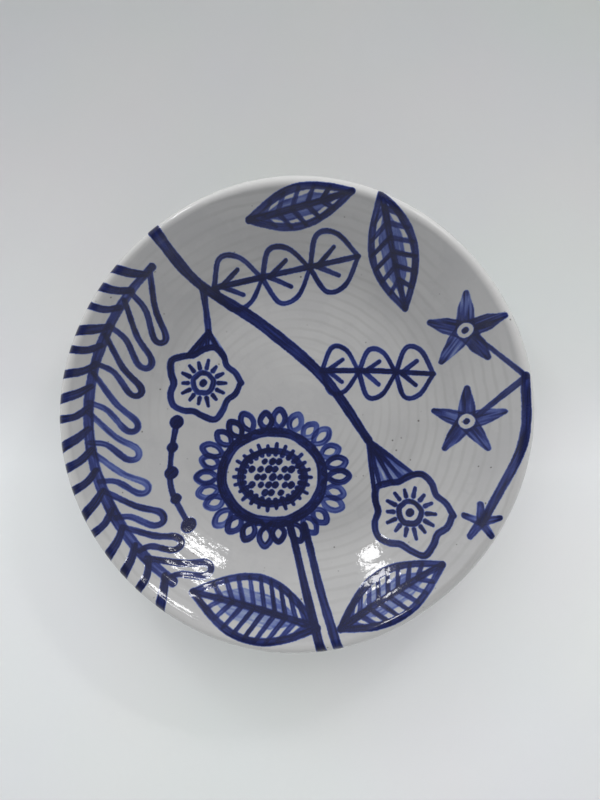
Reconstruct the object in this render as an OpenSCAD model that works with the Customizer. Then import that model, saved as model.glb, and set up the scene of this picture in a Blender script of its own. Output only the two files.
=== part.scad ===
// A hand thrown ceramic plate with cobalt brushwork on a white glaze.
// The plate lies on its foot ring. +Z is up, and the origin is the centre of the face it rests on.
// Every painted motif is a thin layer of pigment that lies on the glaze and follows its curve.

/* [Plate] */
// Outer diameter over the lip
plate_d = 250; // [230:1:270]
// Diameter of the flat floor of the well
well_d = 128; // [120:1:132]
// Thickness of the clay wall, which is also the thickness of the rounded lip
wall_t = 6.5; // [5:0.5:8]
// Slope of the wall where it leaves the well, in degrees
wall_slope = 33; // [28:1:36]
// Slope of the wall at the lip, in degrees
lip_slope = 43; // [40:1:48]

/* [Foot] */
// Outer diameter of the foot ring
foot_d = 114; // [100:1:118]
// Width of the foot ring
foot_w = 8; // [6:1:12]
// Height of the foot ring below the clay floor
foot_h = 4.5; // [3:0.5:8]

/* [Glaze and paint] */
// Thickness of the white glaze
glaze_t = 0.5; // [0.4:0.1:0.8]
// Thickness of the painted pigment
paint_t = 0.25; // [0.2:0.05:0.4]
// Width of an ordinary brush stroke
brush_w = 2.8; // [2:0.1:3.4]

/* [Hidden] */
$fn = 96;

clay_colour = "#c9a98a";
glaze_colour = "#dcdcdf";
cobalt = "#1c2a63";

// The wall's curve: a flat well, a bend with a small radius, then a long shallow arc up to the lip.
well_r = well_d / 2;
bend_r = 34;
bend_end_r = well_r + bend_r * sin(wall_slope);
wall_end_r = plate_d / 2 - glaze_t - wall_t / 2 * (1 + sin(lip_slope));
wall_r = (wall_end_r - bend_end_r) / (sin(lip_slope) - sin(wall_slope));
well_z = foot_h + wall_t;
bend_c = [well_r, well_z + bend_r];
wall_c = bend_c + (bend_r - wall_r) * [sin(wall_slope), -cos(wall_slope)];
lip_c = wall_c + (wall_r + wall_t / 2) * [sin(lip_slope), -cos(lip_slope)];
lip_top = lip_c.y + wall_t / 2 + glaze_t;

// Straight steps in each curve of the wall, and in each quarter of the lip.
facets = 4;

// The painting is laid out on a plate of this diameter, and grows with the real one.
layout_d = 250;
paint_scale = plate_d / layout_d;

// An arc about c, from slope a to slope b, both measured from straight down.
function arc(c, r, a, b, n) = [
    for (i = [0 : n]) let (s = a + (b - a) * i / n) c + r * [sin(s), -cos(s)]
];

// The well and wall, t above the clay, from the radius start out to the lip.
function wall_curve(t, start = 0) = concat(
    start < well_r ? [[start, well_z + t]] : [],
    arc(bend_c, bend_r - t, 0, wall_slope, facets),
    [for (i = [1 : facets]) arc(wall_c, wall_r - t, wall_slope, lip_slope, facets)[i]]
);

// The lip's round edge, t outside the clay, between two directions measured from straight down.
function lip_curve(t, a, b) = arc(lip_c, wall_t / 2 + t, a, b, abs(b - a) * facets / 90);
inner_side = lip_slope + 180;
outer_side = lip_slope;
lip_crest = lip_slope + 90;
lip_edge = lip_crest - 45;

function reversed(list) = [for (i = [len(list) - 1 : -1 : 0]) list[i]];

module turned(profile) {
    rotate_extrude()
        polygon(profile);
}

// A skin between two curves that run the same way.
module skin(low, high) {
    turned(concat(low, reversed(high)));
}

module clay_body() {
    color(clay_colour)
        turned(concat(wall_curve(0), lip_curve(0, inner_side, outer_side), reversed(wall_curve(-wall_t))));
}

module foot_ring() {
    chamfer = 1;
    outer = foot_d / 2;
    inner = outer - foot_w;
    color(clay_colour)
        turned([
            [inner, foot_h], [inner + chamfer / 2, chamfer], [inner + chamfer * 1.5, 0],
            [outer - chamfer * 1.5, 0], [outer - chamfer / 2, chamfer], [outer, foot_h]
        ]);
}

module glaze_inside() {
    color(glaze_colour)
        skin(
            concat(wall_curve(0), lip_curve(0, inner_side, lip_crest)),
            concat(wall_curve(glaze_t), lip_curve(glaze_t, inner_side, lip_crest))
        );
}

module glaze_outside() {
    start = foot_d / 2;
    color(glaze_colour)
        skin(
            concat(wall_curve(-wall_t, start), lip_curve(0, outer_side, lip_crest)),
            concat(wall_curve(-wall_t - glaze_t, start), lip_curve(glaze_t, outer_side, lip_crest))
        );
}

module glaze_under_foot() {
    color(glaze_colour)
        translate([0, 0, foot_h - glaze_t])
            cylinder(h = glaze_t, r = foot_d / 2 - foot_w);
}

// Paint. A stroke is [width at its start, width at its end, points], in millimetres on the layout.

// A smooth curve through the points, with n steps between each pair.
function through(p, n) = [
    for (i = [0 : len(p) - 2], k = [0 : n - 1])
        let (
            a = p[max(i - 1, 0)], b = p[i], c = p[i + 1], d = p[min(i + 2, len(p) - 1)],
            t = k / n, u = t * t, v = u * t
        )
        (2 * b + (c - a) * t + (2 * a - 5 * b + 4 * c - d) * u + (3 * b - a - 3 * c + d) * v) / 2,
    p[len(p) - 1]
];

function heading(p, i) = let (d = p[min(i + 1, len(p) - 1)] - p[max(i - 1, 0)]) atan2(d.y, d.x);
function around(c, r, a) = c + r * [cos(a), sin(a)];

// The outline of a stroke with round ends.
function ribbon(p, w0, w1) = let (m = len(p) - 1, cap = [-50, 0, 50]) concat(
    [for (a = cap) around(p[0], w0 / 2, heading(p, 0) + 180 + a)],
    [for (i = [0 : m]) around(p[i], (w0 + (w1 - w0) * i / m) / 2, heading(p, i) - 90)],
    [for (a = cap) around(p[m], w1 / 2, heading(p, m) + a)],
    [for (i = [m : -1 : 0]) around(p[i], (w0 + (w1 - w0) * i / m) / 2, heading(p, i) + 90)]
);

// Strokes of one motif, run together as wet paint does: the offsets fill the sharp inner corners.
// Each stroke is smoothed with a number of steps between its points.
module brush(strokes, steps = 3) {
    flow = 0.3;
    offset(r = -flow, $fn = 8)
        offset(r = flow, $fn = 8)
            for (s = strokes)
                polygon(ribbon(through(s[2], steps), s[0], s[1]));
}

module dots(centres, r) {
    for (c = centres)
        translate(c)
            circle(r = r);
}

// Lays a flat motif on the glaze, over the well, the wall and the top of the lip.
module painted() {
    color(cobalt)
        intersection() {
            skin(
                concat(wall_curve(glaze_t), lip_curve(glaze_t, inner_side, lip_edge)),
                concat(wall_curve(glaze_t + paint_t), lip_curve(glaze_t + paint_t, inner_side, lip_edge))
            );
            linear_extrude(lip_top + 1)
                scale(paint_scale)
                    children();
        }
}

// A point at share t of the way from a to b, moved off the line to its left by off.
function beside(a, b, t, off) = let (d = (b - a) / norm(b - a)) a + (b - a) * t + [-d.y, d.x] * off;
// The point at share t of the way through a list of points, by count.
function along_line(p, t) = let (k = min(floor(t * (len(p) - 1)), len(p) - 2), u = t * (len(p) - 1) - k)
    p[k] + (p[k + 1] - p[k]) * u;

function line(w, p) = [w, w, p];
function fine(p) = line(brush_w * 0.85, p);
function bold(p) = line(brush_w * 1.2, p);
// A small steady wobble, so that repeated strokes differ as a hand's do.
function wobble(i, size) = size * sin(137 * i + 40);

// Fern: a stem along an arc of the left rim, even loops on its inner side, even dashes on its outer side.
fern_r = 111;
fern_from = 134;
fern_to = 234;
frond_n = 9;
frond_l = 26;
frond_taper = 1.5;
dash_n = 17;

FERN_STEM = [for (i = [0 : 11]) around([0, 0], fern_r, fern_from + (fern_to - fern_from) * i / 11)];

// A loop from a to b that turns at its tip, half as wide as spread across its shoulders.
function loop(a, tip, b, spread) = let (
    along = tip - (a + b) / 2,
    ahead = along / norm(along),
    side = [ahead.y, -ahead.x] * spread,
    shoulder = tip - ahead * spread * 1.1
) [a, (a + shoulder - side) / 2, shoulder - side, tip, shoulder + side, (b + shoulder + side) / 2, b];

// Each frond leaves the stem, leans down the plate, and is a little shorter than the one before.
function frond(i) = let (
    step = (fern_to - fern_from) / frond_n,
    a = fern_from + step * (i + 0.1),
    tip = around([0, 0], fern_r - frond_l + frond_taper * i, a + step * 1.5)
) loop(around([0, 0], fern_r, a), tip, around([0, 0], fern_r, a + step * 0.75), 3.4);

// A dash that leaves the stem, bends down and runs out over the lip.
function dash(i) = let (
    p = along_line(FERN_STEM, 0.04 + 0.9 * i / (dash_n - 1)),
    a = atan2(p.y, p.x) + (p.y < 0 ? 360 : 0),
    lip = layout_d / 2
) [
    brush_w * 1.1, brush_w * (1.6 + wobble(i, 0.2)),
    [p, around([0, 0], (norm(p) + lip) / 2 - 2, a + 2.5), around([0, 0], lip, a + 4 + wobble(i, 0.8))]
];

module fern_stem_strokes() brush([line(brush_w * 1.5, FERN_STEM)]);

module fern_stem() {
    painted()
        fern_stem_strokes();
}

module fern_fronds() {
    painted()
        difference() {
            brush([for (i = [0 : frond_n - 1]) line(brush_w * 1.1, frond(i))]);
            fern_stem_strokes();
        }
}

module rim_dashes() {
    painted()
        difference() {
            brush([for (i = [0 : dash_n - 1]) dash(i)]);
            fern_stem_strokes();
        }
}

// Main branch: one sweep from the upper left rim across the plate to the second flower.
BRANCH = [6.5, 4.5, [[-75, 98], [-55, 73], [-20, 50], [15, 20], [40, -15]]];

module branch_strokes() brush([BRANCH], 6);

module main_branch() {
    painted()
        branch_strokes();
}

// A sprig: a midrib from a to b with pairs of round leaves, each one outline and one vein.
function sprig(a, b, pairs, size) = concat(
    [fine([a, b])],
    [
        for (s = [-1, 1], k = [0 : pairs - 1])
            fine([
                beside(a, b, k / pairs, 0), beside(a, b, (k + 0.25) / pairs, s * size),
                beside(a, b, (k + 0.65) / pairs, s * size * 0.9), beside(a, b, (k + 1) / pairs, 0)
            ])
    ],
    [
        for (s = [-1, 1], k = [0 : pairs - 1])
            fine([beside(a, b, (k + 0.15) / pairs, 0), beside(a, b, (k + 0.55) / pairs, s * size * 0.5)])
    ]
);

module upper_sprig() {
    painted()
        difference() {
            brush(sprig([-46, 70], [34, 86], 3, 14));
            branch_strokes();
        }
}

module lower_sprig() {
    painted()
        difference() {
            brush(sprig([14, 24], [76, 22], 3, 13));
            branch_strokes();
        }
}

function oval_point(c, rx, ry, a) = c + [rx * cos(a), ry * sin(a)];
function oval(c, rx, ry, n = 12) = [for (i = [0 : n]) oval_point(c, rx, ry, 360 * i / n)];
// Short strokes around an oval, from inside it by dip to outside it by reach.
function ticks(c, rx, ry, n, from, to, dip, reach) = [
    for (i = [0 : n - 1])
        let (a = from + (to - from) * i / max(n - 1, 1))
        fine([oval_point(c, rx - dip, ry - dip, a), oval_point(c, rx + reach + wobble(i, 1), ry + reach, a)])
];

// A flower from the side: an even five-lobed head round an eye, and lines that fan to it from its top.
function lobed(c, r, a) = around(c, r * (1 + 0.12 * cos(5 * a)), a);
function flower(top, eye, r) = let (up = atan2(top.y - eye.y, top.x - eye.x)) concat(
    [bold([for (i = [0 : 20]) lobed(eye, r, 18 * i)])],
    [for (k = [-2 : 2]) fine([top, lobed(eye, r, up + 18 * k)])],
    [bold(oval(eye, r * 0.3, r * 0.3))],
    ticks(eye, r * 0.3, r * 0.3, 14, 0, 334, -3, r * 0.35)
);

pupil_r = 2;
HANGING_EYE = [-53, 17];
HANGING_TOP = [-50, 46];
TRUMPET_EYE = [63, -55];
TRUMPET_TOP = BRANCH[2][4];

module hanging_flower() {
    painted()
        difference() {
            union() {
                brush(concat([line(3.4, [[-52, 70], HANGING_TOP])], flower(HANGING_TOP, HANGING_EYE, 19)));
                dots([HANGING_EYE], pupil_r);
            }
            branch_strokes();
        }
}

module trumpet_flower() {
    painted()
        difference() {
            union() {
                brush(flower(TRUMPET_TOP, TRUMPET_EYE, 20));
                dots([TRUMPET_EYE], pupil_r);
            }
            branch_strokes();
        }
}

// Sunflower: a thick oval ring, an inner ring with ticks, seeds in rows, and looped petals.
SUN_C = [-14, -36];
SUN_R = [28.5, 25.5];
seed_gap = 4.4;
seed_r = 1.6;
// The seeds stay inside this oval, clear of the ticks.
SEED_FIELD = [13, 10];
petal_n = 26;

module sunflower_ring_strokes() {
    brush(concat(
        [line(5.5, oval(SUN_C, SUN_R.x, SUN_R.y, 36)), line(3.2, oval(SUN_C, 18, 15, 30))],
        ticks(SUN_C, 18, 15, 26, 0, 346, 2, 3)
    ), 1);
}

function petal(i, n) = let (
    a = 360 * i / n,
    half = 360 / n * 0.38,
    root = SUN_R + [0.5, 0.5],
    reach = SUN_R + [14, 12] + [1, 1] * wobble(i, 1.2)
) line(brush_w, loop(
    oval_point(SUN_C, root.x, root.y, a + half), oval_point(SUN_C, reach.x, reach.y, a + wobble(i, 2)),
    oval_point(SUN_C, root.x, root.y, a - half), 3.1
));

module sunflower_ring() {
    painted()
        sunflower_ring_strokes();
}

module sunflower_seeds() {
    painted()
        dots([
            for (row = [-2 : 2], k = [-3 : 3])
                let (p = [seed_gap * (k + (row % 2) / 2) + wobble(k + row * 7, 0.6), seed_gap * row])
                if (norm([p.x / SEED_FIELD.x, p.y / SEED_FIELD.y]) < 1) SUN_C + p
        ], seed_r);
}

module sunflower_petals() {
    painted()
        difference() {
            brush([for (i = [0 : petal_n - 1]) petal(i, petal_n)], 2);
            sunflower_ring_strokes();
            stem_strokes();
        }
}

// Two stems side by side, from the sunflower down over the lip.
module stem_strokes() {
    brush([line(4.2, [[-4, -63], [5, -95], [15, -124]]), line(4.2, [[4, -63], [13, -95], [24, -123]])]);
}

module sunflower_stem() {
    painted()
        difference() {
            stem_strokes();
            sunflower_ring_strokes();
        }
}

// A leaf: a pointed outline, a midrib, and even veins that slant toward the tip.
function leaf(root, tip, half, vein_n) = concat(
    [for (s = [-1, 1]) bold([for (i = [0 : 8]) beside(root, tip, i / 8, s * half * sin(180 * i / 8))])],
    [fine([root, tip])],
    [
        for (s = [-1, 1], i = [1 : vein_n])
            let (t = 0.85 * i / (vein_n + 1), end = t + 0.1)
            line(2, [beside(root, tip, t, 0), beside(root, tip, end, s * half * sin(180 * end))])
    ]
);

module lower_left_leaf() {
    painted()
        difference() {
            brush(leaf([12, -113], [-55, -95], 14, 9));
            stem_strokes();
        }
}

module lower_right_leaf() {
    painted()
        difference() {
            brush(leaf([24, -113], [79, -80], 11, 8));
            stem_strokes();
        }
}

module upper_left_leaf() {
    painted()
        brush(leaf([-25, 104], [30, 116], 8.5, 5));
}

module upper_right_leaf() {
    painted()
        brush(leaf([45, 115], [60, 58], 11, 6));
}

// Stars: five even tapered strokes from the middle, round a bare eye. [middle, reach, turn, has an eye]
STARS = [[[91, 45], 19, 20, true], [[93, -4], 18, 18, true], [[99, -57], 9, 18, false]];
eye_r = 4;

module star_strokes() {
    difference() {
        brush([
            for (s = STARS, k = [0 : 4])
                let (a = s[2] + 72 * k)
                [s[1] * 0.5, 3.2, [around(s[0], s[1] * 0.2, a), around(s[0], s[1], a)]]
        ]);
        dots([for (s = STARS) if (s[3]) s[0]], eye_r);
    }
    dots([for (s = STARS) if (s[3]) s[0]], 1.4);
}

module star_flowers() {
    painted()
        star_strokes();
}

// Vine: one sweep up the right rim from the small star, with a thin stalk to each of the other two.
VINE_TOP = [120, 20];

module star_vine() {
    painted()
        difference() {
            brush([
                line(4.4, [[101, -55], [119, -15], VINE_TOP]),
                line(2, [[96, 42], VINE_TOP]),
                line(2.4, [[98, -1], VINE_TOP])
            ]);
            star_strokes();
        }
}

// Twig: a thin line with evenly spaced round knobs, large and small by turns.
TWIG = [[-68, -5], [-71, -24], [-70, -43], [-60, -62]];

module knobbed_twig() {
    painted() {
        brush([line(3, TWIG)]);
        for (i = [0 : 4])
            dots([along_line(TWIG, i / 4)], i % 2 == 0 ? 3.6 : 2.6);
    }
}

// A small touch of the brush on the outside, just under the lip.
module outside_touch() {
    low = wall_curve(-wall_t - glaze_t);
    high = wall_curve(-wall_t - glaze_t - paint_t);
    span = [len(low) - 2 : len(low) - 1];
    color(cobalt)
        rotate([0, 0, 27.5])
            rotate_extrude(angle = 3)
                polygon(concat([for (i = span) low[i]], reversed([for (i = span) high[i]])));
}

clay_body();
foot_ring();
glaze_inside();
glaze_outside();
glaze_under_foot();
fern_stem();
fern_fronds();
rim_dashes();
main_branch();
upper_sprig();
lower_sprig();
hanging_flower();
trumpet_flower();
sunflower_ring();
sunflower_seeds();
sunflower_petals();
sunflower_stem();
lower_left_leaf();
lower_right_leaf();
upper_left_leaf();
upper_right_leaf();
star_flowers();
star_vine();
knobbed_twig();
outside_touch();
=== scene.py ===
# %% [markdown]
# # A hand painted plate, from the wheel to the brush
# The real object is a thrown clay plate under a white glaze, with cobalt blue brushwork fired into it.
# A computer model already gives its exact form, so this lesson keeps that form and adds what hands and
# fire leave behind: throwing rings, an uneven rim, brush strokes that pool and streak, and a wet shine.
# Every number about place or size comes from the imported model, in metres, with +Z up.

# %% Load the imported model
import math

import bpy
import numpy as np
from mathutils import Matrix, Vector
from mathutils.bvhtree import BVHTree


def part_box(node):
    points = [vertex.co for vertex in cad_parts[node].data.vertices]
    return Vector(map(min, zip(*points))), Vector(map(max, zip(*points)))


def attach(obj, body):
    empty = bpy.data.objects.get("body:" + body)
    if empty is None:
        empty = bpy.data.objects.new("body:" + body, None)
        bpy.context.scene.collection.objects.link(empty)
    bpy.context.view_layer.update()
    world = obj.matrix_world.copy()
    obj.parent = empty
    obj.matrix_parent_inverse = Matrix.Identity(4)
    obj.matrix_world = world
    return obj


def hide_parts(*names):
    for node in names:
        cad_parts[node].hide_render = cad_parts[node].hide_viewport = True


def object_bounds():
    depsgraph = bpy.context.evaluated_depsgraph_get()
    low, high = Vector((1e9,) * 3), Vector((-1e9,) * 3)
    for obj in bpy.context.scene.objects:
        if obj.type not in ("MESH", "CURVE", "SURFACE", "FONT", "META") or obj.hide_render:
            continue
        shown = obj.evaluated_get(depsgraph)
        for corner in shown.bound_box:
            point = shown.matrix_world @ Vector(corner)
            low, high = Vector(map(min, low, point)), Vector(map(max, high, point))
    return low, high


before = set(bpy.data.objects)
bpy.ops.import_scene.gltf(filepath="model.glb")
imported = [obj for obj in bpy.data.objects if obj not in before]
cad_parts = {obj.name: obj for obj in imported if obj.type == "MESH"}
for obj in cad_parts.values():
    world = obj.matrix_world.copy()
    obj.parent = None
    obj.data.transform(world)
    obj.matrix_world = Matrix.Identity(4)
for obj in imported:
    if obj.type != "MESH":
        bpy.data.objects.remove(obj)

MM = 0.001
cad_low, cad_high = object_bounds()
plate_r = (cad_high.x - cad_low.x) / 2
plate_top = cad_high.z
print(f"plate {2000 * plate_r:.1f} mm across, {1000 * plate_top:.1f} mm high")

# %% [markdown]
# ## The camera
# A plate is a picture, so it is seen from straight above, with the top of the painting up.
# A tracking constraint loses its sense of "up" when it looks down an axis, so the camera's three
# directions are worked out by cross products, which never flip.

# %% Camera
def looking(eye, aim, up=Vector((0, 1, 0))):
    back = (eye - aim).normalized()
    right = up.cross(back).normalized()
    turn = Matrix((right, back.cross(right), back)).transposed().to_4x4()
    return Matrix.Translation(eye) @ turn


def add_camera():
    data = bpy.data.cameras.new("plate_camera")
    data.lens = 40.7
    data.clip_start = 0.01
    camera = bpy.data.objects.new("plate_camera", data)
    bpy.context.scene.collection.objects.link(camera)
    camera.matrix_world = looking(Vector((0.16, 0.09, 4.16)) * plate_r, Vector((0.010, 0.059, 0)) * plate_r)
    bpy.context.scene.camera = camera
    return camera


camera = add_camera()
print("camera", [round(v, 3) for v in camera.matrix_world.translation])

# %% [markdown]
# ## Light
# One broad soft panel stands beyond the top of the painting, so the near wall is bright and the far
# wall lies in its own shade. It is hidden from reflections, because so large a panel would wash out
# the whole lower wall. Two small bright panels, low to the left and right, are what the glaze
# reflects: each leaves one streak where the well turns up into the wall. A pale world fills the shade.

# %% Soft panels and fill
def add_panel(name, azimuth, zenith, distance, size, watts, reflected=True):
    a, z = math.radians(azimuth), math.radians(zenith)
    place = Vector((math.cos(a) * math.sin(z), math.sin(a) * math.sin(z), math.cos(z))) * distance
    data = bpy.data.lights.new(name, "AREA")
    data.shape = "RECTANGLE"
    data.size, data.size_y = size
    data.energy = watts
    lamp = bpy.data.objects.new(name, data)
    bpy.context.scene.collection.objects.link(lamp)
    lamp.matrix_world = looking(place, Vector((0, 0, 0)), Vector((0, 0, 1)))
    lamp.visible_glossy = reflected
    return lamp


add_panel("broad_panel", 92, 42, 2.0, (2.4, 1.8), 23.0, reflected=False)
add_panel("left_window", 122, 56, 1.0, (0.10, 0.16), 0.9)
add_panel("right_window", 57, 53, 1.0, (0.22, 0.05), 0.75)


# %% [markdown]
# The pale world is brighter at the horizon than overhead. That lights the round of the lip from every
# side, and keeps the middle of the well, which mirrors what is straight above, deep in colour.

# %% Fill light from the world
def add_world(stops):
    world = bpy.data.worlds.new("tent")
    world.use_nodes = True
    tree = world.node_tree
    direction = tree.nodes.new("ShaderNodeTexCoord")
    split = tree.nodes.new("ShaderNodeSeparateXYZ")
    ramp = tree.nodes.new("ShaderNodeValToRGB")
    tree.links.new(direction.outputs["Generated"], split.inputs[0])
    tree.links.new(split.outputs["Z"], ramp.inputs["Fac"])
    bands = ramp.color_ramp.elements
    bands.new(0.5)
    for band, (place, level) in zip(bands, stops):
        band.position = place
        band.color = (0.96 * level, 0.98 * level, level, 1)
    tree.links.new(ramp.outputs["Color"], tree.nodes["Background"].inputs["Color"])
    bpy.context.scene.world = world


add_world([(0.0, 1.05), (0.35, 0.50), (1.0, 0.22)])
bpy.context.scene.view_settings.view_transform = "Standard"

# %% [markdown]
# ## A short way to write node materials
# Each finish below is a principled shader fed by a few texture nodes. These helpers keep that short:
# one makes the material, one adds a node and sets its inputs.

# %% Material helpers
def new_material(name):
    material = bpy.data.materials.new(name)
    material.use_nodes = True
    tree = material.node_tree
    return material, tree, tree.nodes["Principled BSDF"]


def node(tree, kind, inputs=None, **settings):
    made = tree.nodes.new(kind)
    for key, value in settings.items():
        setattr(made, key, value)
    for key, value in (inputs or {}).items():
        socket = made.inputs[key]
        if isinstance(value, bpy.types.NodeSocket):
            tree.links.new(value, socket)
        else:
            socket.default_value = value
    return made


def colour_ramp(tree, factor, stops):
    ramp = node(tree, "ShaderNodeValToRGB", {"Fac": factor})
    bands = ramp.color_ramp.elements
    while len(bands) < len(stops):
        bands.new(0.5)
    for band, (place, colour) in zip(bands, stops):
        band.position = place
        band.color = (*colour, 1)
    return ramp.outputs["Color"]


def object_place(tree):
    return node(tree, "ShaderNodeTexCoord").outputs["Object"]


# %% [markdown]
# ## The floor
# A pale sheet lies under the plate. Its colour carries painted shade: brightest under the near half of the
# plate and darker toward +Y, the far side at the top of the picture. It is staging, not part of the object.

# %% Floor
def painted_shade_floor_material():
    material, tree, shader = new_material("pale_sheet_painted_shade")
    place = object_place(tree)
    grain = node(tree, "ShaderNodeTexNoise", {"Vector": place, "Scale": 6.0, "Detail": 4.0})
    split = node(tree, "ShaderNodeSeparateXYZ", {0: place})
    # Painted shade: the sheet's colour darkens toward +Y, so the far side looks shaded.
    rise = node(tree, "ShaderNodeMapRange", {
        "Value": split.outputs["Y"], "From Min": -2 * plate_r, "From Max": 2 * plate_r})
    tone = colour_ramp(tree, rise.outputs[0], [
        (0.0, (0.66, 0.672, 0.676)), (0.44, (0.74, 0.753, 0.762)), (0.53, (0.61, 0.623, 0.628)),
        (1.0, (0.38, 0.389, 0.385))])
    mottled = node(tree, "ShaderNodeMix", {0: 0.06, 6: tone, 7: grain.outputs["Color"]}, data_type="RGBA")
    tree.links.new(mottled.outputs[2], shader.inputs["Base Color"])
    shader.inputs["Roughness"].default_value = 0.6
    return material


def add_floor(half=3.0):
    mesh = bpy.data.meshes.new("floor")
    corners = [(-half, -half, 0), (half, -half, 0), (half, half, 0), (-half, half, 0)]
    mesh.from_pydata(corners, [], [(0, 1, 2, 3)])
    floor = bpy.data.objects.new("floor", mesh)
    bpy.context.scene.collection.objects.link(floor)
    mesh.materials.append(painted_shade_floor_material())
    return floor


floor = add_floor()

# %% [markdown]
# The backdrop sheet is brighter than one lamp over the plate would leave it, so a wash of light
# falls on the floor alone: light linking says what it lights and what may shade it.

# %% A wash for the floor alone
def light_only(lamp, target):
    for kind in ("receiver_collection", "blocker_collection"):
        chosen = bpy.data.collections.new(lamp.name + "_" + kind)
        chosen.objects.link(target)
        setattr(lamp.light_linking, kind, chosen)


light_only(add_panel("floor_wash", -90, 50, 1.6, (1.2, 0.8), 11.5, reflected=False), floor)

# %% [markdown]
# ## Reading the turned form
# The packed clay and glaze are true turned solids. Rays dropped on them from above and from below
# give the height of the face and of the back at each radius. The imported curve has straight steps, so
# a small running average rounds them off. The lip is a half circle as thick as the wall.

# %% Heights of the face and the back
def solid_of(*names):
    points, faces = [], []
    for name in names:
        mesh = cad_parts[name].data
        start = len(points)
        points.extend(v.co.copy() for v in mesh.vertices)
        faces.extend([start + i for i in f.vertices] for f in mesh.polygons)
    return BVHTree.FromPolygons(points, faces)


turned = solid_of("clay_body", "glaze_inside", "glaze_outside")


def height_at(radius, from_above):
    side = 1 if from_above else -1
    start = Vector((radius, 0.0003, side * plate_r))
    return turned.ray_cast(start, Vector((0, 0, -side)))[0].z


def rounded_curve(radii, heights, reach=2.5 * MM):
    step = radii[1] - radii[0]
    n = int(3 * reach / step)
    kernel = np.exp(-0.5 * (np.arange(-n, n + 1) * step / reach) ** 2)
    slope = np.gradient(heights, step)
    padded = np.concatenate([np.full(n, slope[0]), slope, np.full(n, slope[-1])])
    smooth = np.convolve(padded, kernel / kernel.sum(), "valid")
    rise = np.concatenate([[0], np.cumsum((smooth[1:] + smooth[:-1]) / 2 * step)])
    return heights[0] + rise + (heights - heights[0] - rise).mean()


foot_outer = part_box("foot_ring")[1].x
foot_inner = min(math.hypot(v.co.x, v.co.y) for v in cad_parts["foot_ring"].data.vertices)
foot_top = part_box("foot_ring")[1].z
under_low, under_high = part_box("glaze_under_foot")
glaze_t = under_high.z - under_low.z

probe = plate_r - 14 * MM
wall_slope = math.atan2(height_at(probe + MM, True) - height_at(probe - MM, True), 2 * MM)
wall_t = (height_at(probe, True) - height_at(probe, False)) * math.cos(wall_slope)
lip_r = wall_t / 2
lip_c = (plate_r - lip_r, plate_top - lip_r)
face_end = plate_r - 9 * MM
face_radii = np.arange(0, face_end, 0.5 * MM) + 0.01 * MM
face_heights = rounded_curve(face_radii, np.array([height_at(r, True) for r in face_radii]))
back_radii = np.arange(foot_outer + 0.5 * MM, face_end + 5 * MM, 0.5 * MM)
back_heights = rounded_curve(back_radii, np.array([height_at(r, False) for r in back_radii]))
lip_slope = math.atan2(face_heights[-1] - face_heights[-9], face_radii[-1] - face_radii[-9])
print(f"wall {1000 * wall_t:.2f} mm thick, sloping {math.degrees(lip_slope):.1f} degrees at the lip")

# %% [markdown]
# ## One line round the whole section
# The glaze runs from the middle of the well, up the wall, over the lip and down to the foot. Walking
# that line in small even steps gives rings to turn, and a distance along it that the throwing rings
# and the paint both use, so that paint always lies exactly on the glaze.

# %% The glaze line
def lip_point(angle):
    return lip_c[0] + lip_r * math.sin(angle), lip_c[1] - lip_r * math.cos(angle)


def glaze_line():
    face_stop = lip_point(lip_slope + math.pi)
    back_start = lip_point(lip_slope)
    keep_face = face_radii < face_stop[0] - MM
    keep_back = back_radii < back_start[0] - MM
    lip = [lip_point(a) for a in np.linspace(lip_slope + math.pi, lip_slope, 40)]
    line = np.concatenate([
        np.column_stack([face_radii, face_heights])[keep_face],
        lip,
        np.column_stack([back_radii, back_heights])[keep_back][::-1],
        [(foot_outer, back_heights[0])],
    ])
    line[0, 0] = 0
    return line


def walked(line):
    return np.concatenate([[0], np.cumsum(np.hypot(*np.diff(line, axis=0).T))])


def resampled(line, marks):
    along = walked(line)
    return np.column_stack([np.interp(marks, along, line[:, 0]), np.interp(marks, along, line[:, 1])])


rough_line = glaze_line()
line_length = walked(rough_line)[-1]
lip_mark = np.interp(lip_c[0], rough_line[:np.argmax(rough_line[:, 1]) + 8, 0],
                     walked(rough_line)[:np.argmax(rough_line[:, 1]) + 8])
lip_span = lip_r * math.pi
marks = np.concatenate([
    np.arange(0, lip_mark - lip_span / 2, 0.72 * MM),
    np.arange(lip_mark - lip_span / 2, lip_mark + lip_span / 2, 0.45 * MM),
    np.arange(lip_mark + lip_span / 2, line_length, 1.0 * MM),
    [line_length],
])
ring_line = resampled(rough_line, marks)
tangents = np.gradient(ring_line, marks, axis=0)
tangents /= np.hypot(*tangents.T)[:, None]
ring_normals = np.column_stack([-tangents[:, 1], tangents[:, 0]])
print(f"{len(marks)} rings over {1000 * line_length:.0f} mm of glaze line, lip at {1000 * lip_mark:.1f} mm")

# %% [markdown]
# ## What the potter's hands leave
# Fingers leave a spiral of low ridges, deeper in places as the pressure changes. Noise with far more
# steps along the section than round it gives exactly that. The rim of a lifted plate is also never
# quite round or level: two and four slow waves, growing towards the lip, match a hand thrown rim.

# %% Noise, throwing rings and the uneven rim
def lattice(shape, seed):
    return np.random.default_rng(seed).uniform(-1, 1, shape)


def smooth_noise(x, y, seed, period=None):
    rows = lattice((257, 257), seed)
    wrap = period or 257
    x0, y0 = np.floor(x).astype(int), np.floor(y).astype(int)
    fx, fy = x - x0, y - y0
    fx, fy = fx * fx * (3 - 2 * fx), fy * fy * (3 - 2 * fy)
    a, b = x0 % 257, (x0 + 1) % 257
    c, d = y0 % wrap, (y0 + 1) % wrap
    near = rows[a, c] * (1 - fx) + rows[b, c] * fx
    far = rows[a, d] * (1 - fx) + rows[b, d] * fx
    return near * (1 - fy) + far * fy


SEGMENTS = 288
turns = np.arange(SEGMENTS) / SEGMENTS


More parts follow.
